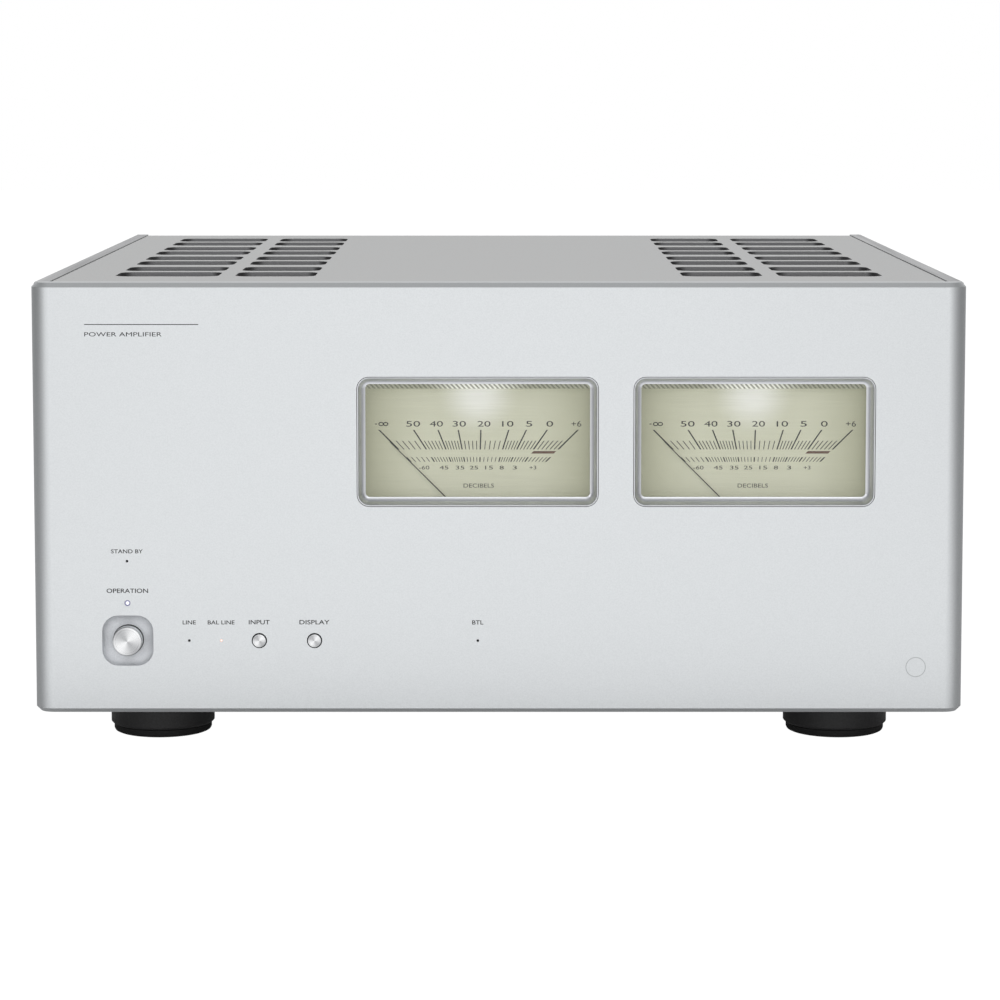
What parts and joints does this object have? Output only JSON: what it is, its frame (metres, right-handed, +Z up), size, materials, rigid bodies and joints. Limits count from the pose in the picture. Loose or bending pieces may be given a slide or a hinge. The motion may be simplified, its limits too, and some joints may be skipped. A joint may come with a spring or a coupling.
{
  "type": "power amplifier",
  "caption": "Full-width stereo power amplifier: silver casing with vented top, needle meters in bezels, push buttons, round feet, rear terminals and inlet.",
  "frame": {"origin": "on the floor, under the middle of the whole object", "axes": "+Z up, -Y out of the front panel, +X to the right seen from the front"},
  "size_m": [0.44, 0.485, 0.224],
  "materials": {
    "anodised_silver": "fine bead-blasted silver anodising",
    "side_silver": "brushed silver anodising",
    "spun_aluminium": "spun finish with bevelled edge",
    "casing_steel": "satin grey paint",
    "foot_iron": "satin black coating",
    "pad_rubber": "matte black",
    "window_clear": "clear polished",
    "dial_champagne": "champagne horizontally brushed",
    "needle_black": "matte black",
    "black_plastic": "fine moulded texture",
    "circuit_board": "green solder mask",
    "lens_blue": "lit blue-white",
    "lens_warm": "lit warm white",
    "lens_dark": "unlit smoked",
    "core_steel": "varnished black laminations",
    "capacitor_sleeve": "black shrink sleeve",
    "sink_black": "black anodised extrusion",
    "gold_plate": "gold plated"
  },
  "bodies": {
    "root": {"front_panel": "anodised_silver", "top_cover": "anodised_silver", "meter_bezel_left": "anodised_silver", "meter_bezel_right": "anodised_silver", "side_panel_left": "side_silver", "side_panel_right": "side_silver", "rear_panel": "casing_steel", "bottom_plate": "casing_steel", "foot_front_left": "foot_iron", "foot_front_right": "foot_iron", "foot_rear_left": "foot_iron", "foot_rear_right": "foot_iron", "foot_pad_front_left": "pad_rubber", "foot_pad_front_right": "pad_rubber", "foot_pad_rear_left": "pad_rubber", "foot_pad_rear_right": "pad_rubber", "meter_window_left": "window_clear", "meter_window_right": "window_clear", "meter_dial_left": "dial_champagne", "meter_dial_right": "dial_champagne", "meter_housing_left": "black_plastic", "meter_housing_right": "black_plastic", "bal_socket_left": "black_plastic", "bal_socket_right": "black_plastic", "power_inlet": "black_plastic", "speaker_base_left": "black_plastic", "speaker_base_right": "black_plastic", "control_board": "circuit_board", "supply_board": "circuit_board", "input_board": "circuit_board", "amp_board_left": "circuit_board", "amp_board_right": "circuit_board", "operation_lens": "lens_blue", "bal_line_lens": "lens_warm", "standby_lens": "lens_dark", "line_lens": "lens_dark", "btl_lens": "lens_dark", "transformer": "core_steel", "capacitor_front_left": "capacitor_sleeve", "capacitor_front_right": "capacitor_sleeve", "capacitor_rear_left": "capacitor_sleeve", "capacitor_rear_right": "capacitor_sleeve", "heat_sink_left": "sink_black", "heat_sink_right": "sink_black", "line_jack_left": "gold_plate", "line_jack_right": "gold_plate"},
    "power_button": {"power_button": "spun_aluminium"},
    "input_button": {"input_button": "spun_aluminium"},
    "display_button": {"display_button": "spun_aluminium"},
    "meter_needle_left": {"meter_needle_left": "needle_black"},
    "meter_needle_right": {"meter_needle_right": "needle_black"},
    "mode_switch": {"mode_switch": "black_plastic"},
    "clamp_ring_left_inner": {"clamp_ring_left_inner": "gold_plate"},
    "clamp_ring_left_outer": {"clamp_ring_left_outer": "gold_plate"},
    "clamp_ring_right_inner": {"clamp_ring_right_inner": "gold_plate"},
    "clamp_ring_right_outer": {"clamp_ring_right_outer": "gold_plate"},
    "terminal_knob_left_inner": {"terminal_knob_left_inner": "gold_plate"},
    "terminal_knob_left_outer": {"terminal_knob_left_outer": "gold_plate"},
    "terminal_knob_right_inner": {"terminal_knob_right_inner": "gold_plate"},
    "terminal_knob_right_outer": {"terminal_knob_right_outer": "gold_plate"}
  },
  "joints": [
    {"name": "power_button_press", "type": "slide", "parent": "root", "child": "power_button", "axis": [0, 1, 0], "range_m": [0, 0.003], "stiffness_N_per_m": 300},
    {"name": "input_button_press", "type": "slide", "parent": "root", "child": "input_button", "axis": [0, 1, 0], "range_m": [0, 0.0015], "stiffness_N_per_m": 200},
    {"name": "display_button_press", "type": "slide", "parent": "root", "child": "display_button", "axis": [0, 1, 0], "range_m": [0, 0.0015], "stiffness_N_per_m": 200},
    {"name": "meter_needle_left_swing", "type": "hinge", "parent": "root", "child": "meter_needle_left", "pos_m": [-0.0099, -0.22655, 0.1061], "axis": [0, 1, 0], "range_deg": [0, 90], "stiffness_Nm_per_rad": 0.0004, "springref_deg": -11.46},
    {"name": "meter_needle_right_swing", "type": "hinge", "parent": "root", "child": "meter_needle_right", "pos_m": [0.1203, -0.22655, 0.1061], "axis": [0, 1, 0], "range_deg": [0, 90], "stiffness_Nm_per_rad": 0.0004, "springref_deg": -11.46},
    {"name": "mode_switch_slide", "type": "slide", "parent": "root", "child": "mode_switch", "axis": [1, 0, 0], "range_m": [0, 0.004]},
    {"name": "clamp_ring_left_inner_open", "type": "slide", "parent": "root", "child": "clamp_ring_left_inner", "axis": [0, 1, 0], "range_m": [0, 0.005]},
    {"name": "terminal_knob_left_inner_turn", "type": "hinge", "parent": "clamp_ring_left_inner", "child": "terminal_knob_left_inner", "pos_m": [-0.118, 0.2305, 0.078], "axis": [0, 1, 0], "range_deg": [0, 1440]},
    {"name": "clamp_ring_left_outer_open", "type": "slide", "parent": "root", "child": "clamp_ring_left_outer", "axis": [0, 1, 0], "range_m": [0, 0.005]},
    {"name": "terminal_knob_left_outer_turn", "type": "hinge", "parent": "clamp_ring_left_outer", "child": "terminal_knob_left_outer", "pos_m": [-0.162, 0.2305, 0.078], "axis": [0, 1, 0], "range_deg": [0, 1440]},
    {"name": "clamp_ring_right_inner_open", "type": "slide", "parent": "root", "child": "clamp_ring_right_inner", "axis": [0, 1, 0], "range_m": [0, 0.005]},
    {"name": "terminal_knob_right_inner_turn", "type": "hinge", "parent": "clamp_ring_right_inner", "child": "terminal_knob_right_inner", "pos_m": [0.118, 0.2305, 0.078], "axis": [0, 1, 0], "range_deg": [0, 1440]},
    {"name": "clamp_ring_right_outer_open", "type": "slide", "parent": "root", "child": "clamp_ring_right_outer", "axis": [0, 1, 0], "range_m": [0, 0.005]},
    {"name": "terminal_knob_right_outer_turn", "type": "hinge", "parent": "clamp_ring_right_outer", "child": "terminal_knob_right_outer", "pos_m": [0.162, 0.2305, 0.078], "axis": [0, 1, 0], "range_deg": [0, 1440]}
  ],
  "couplings": [
    {"joint": "terminal_knob_left_inner_turn", "follows": "clamp_ring_left_inner_open", "rad_per_m": 5026.5},
    {"joint": "terminal_knob_left_outer_turn", "follows": "clamp_ring_left_outer_open", "rad_per_m": 5026.5},
    {"joint": "terminal_knob_right_inner_turn", "follows": "clamp_ring_right_inner_open", "rad_per_m": 5026.5},
    {"joint": "terminal_knob_right_outer_turn", "follows": "clamp_ring_right_outer_open", "rad_per_m": 5026.5}
  ]
}
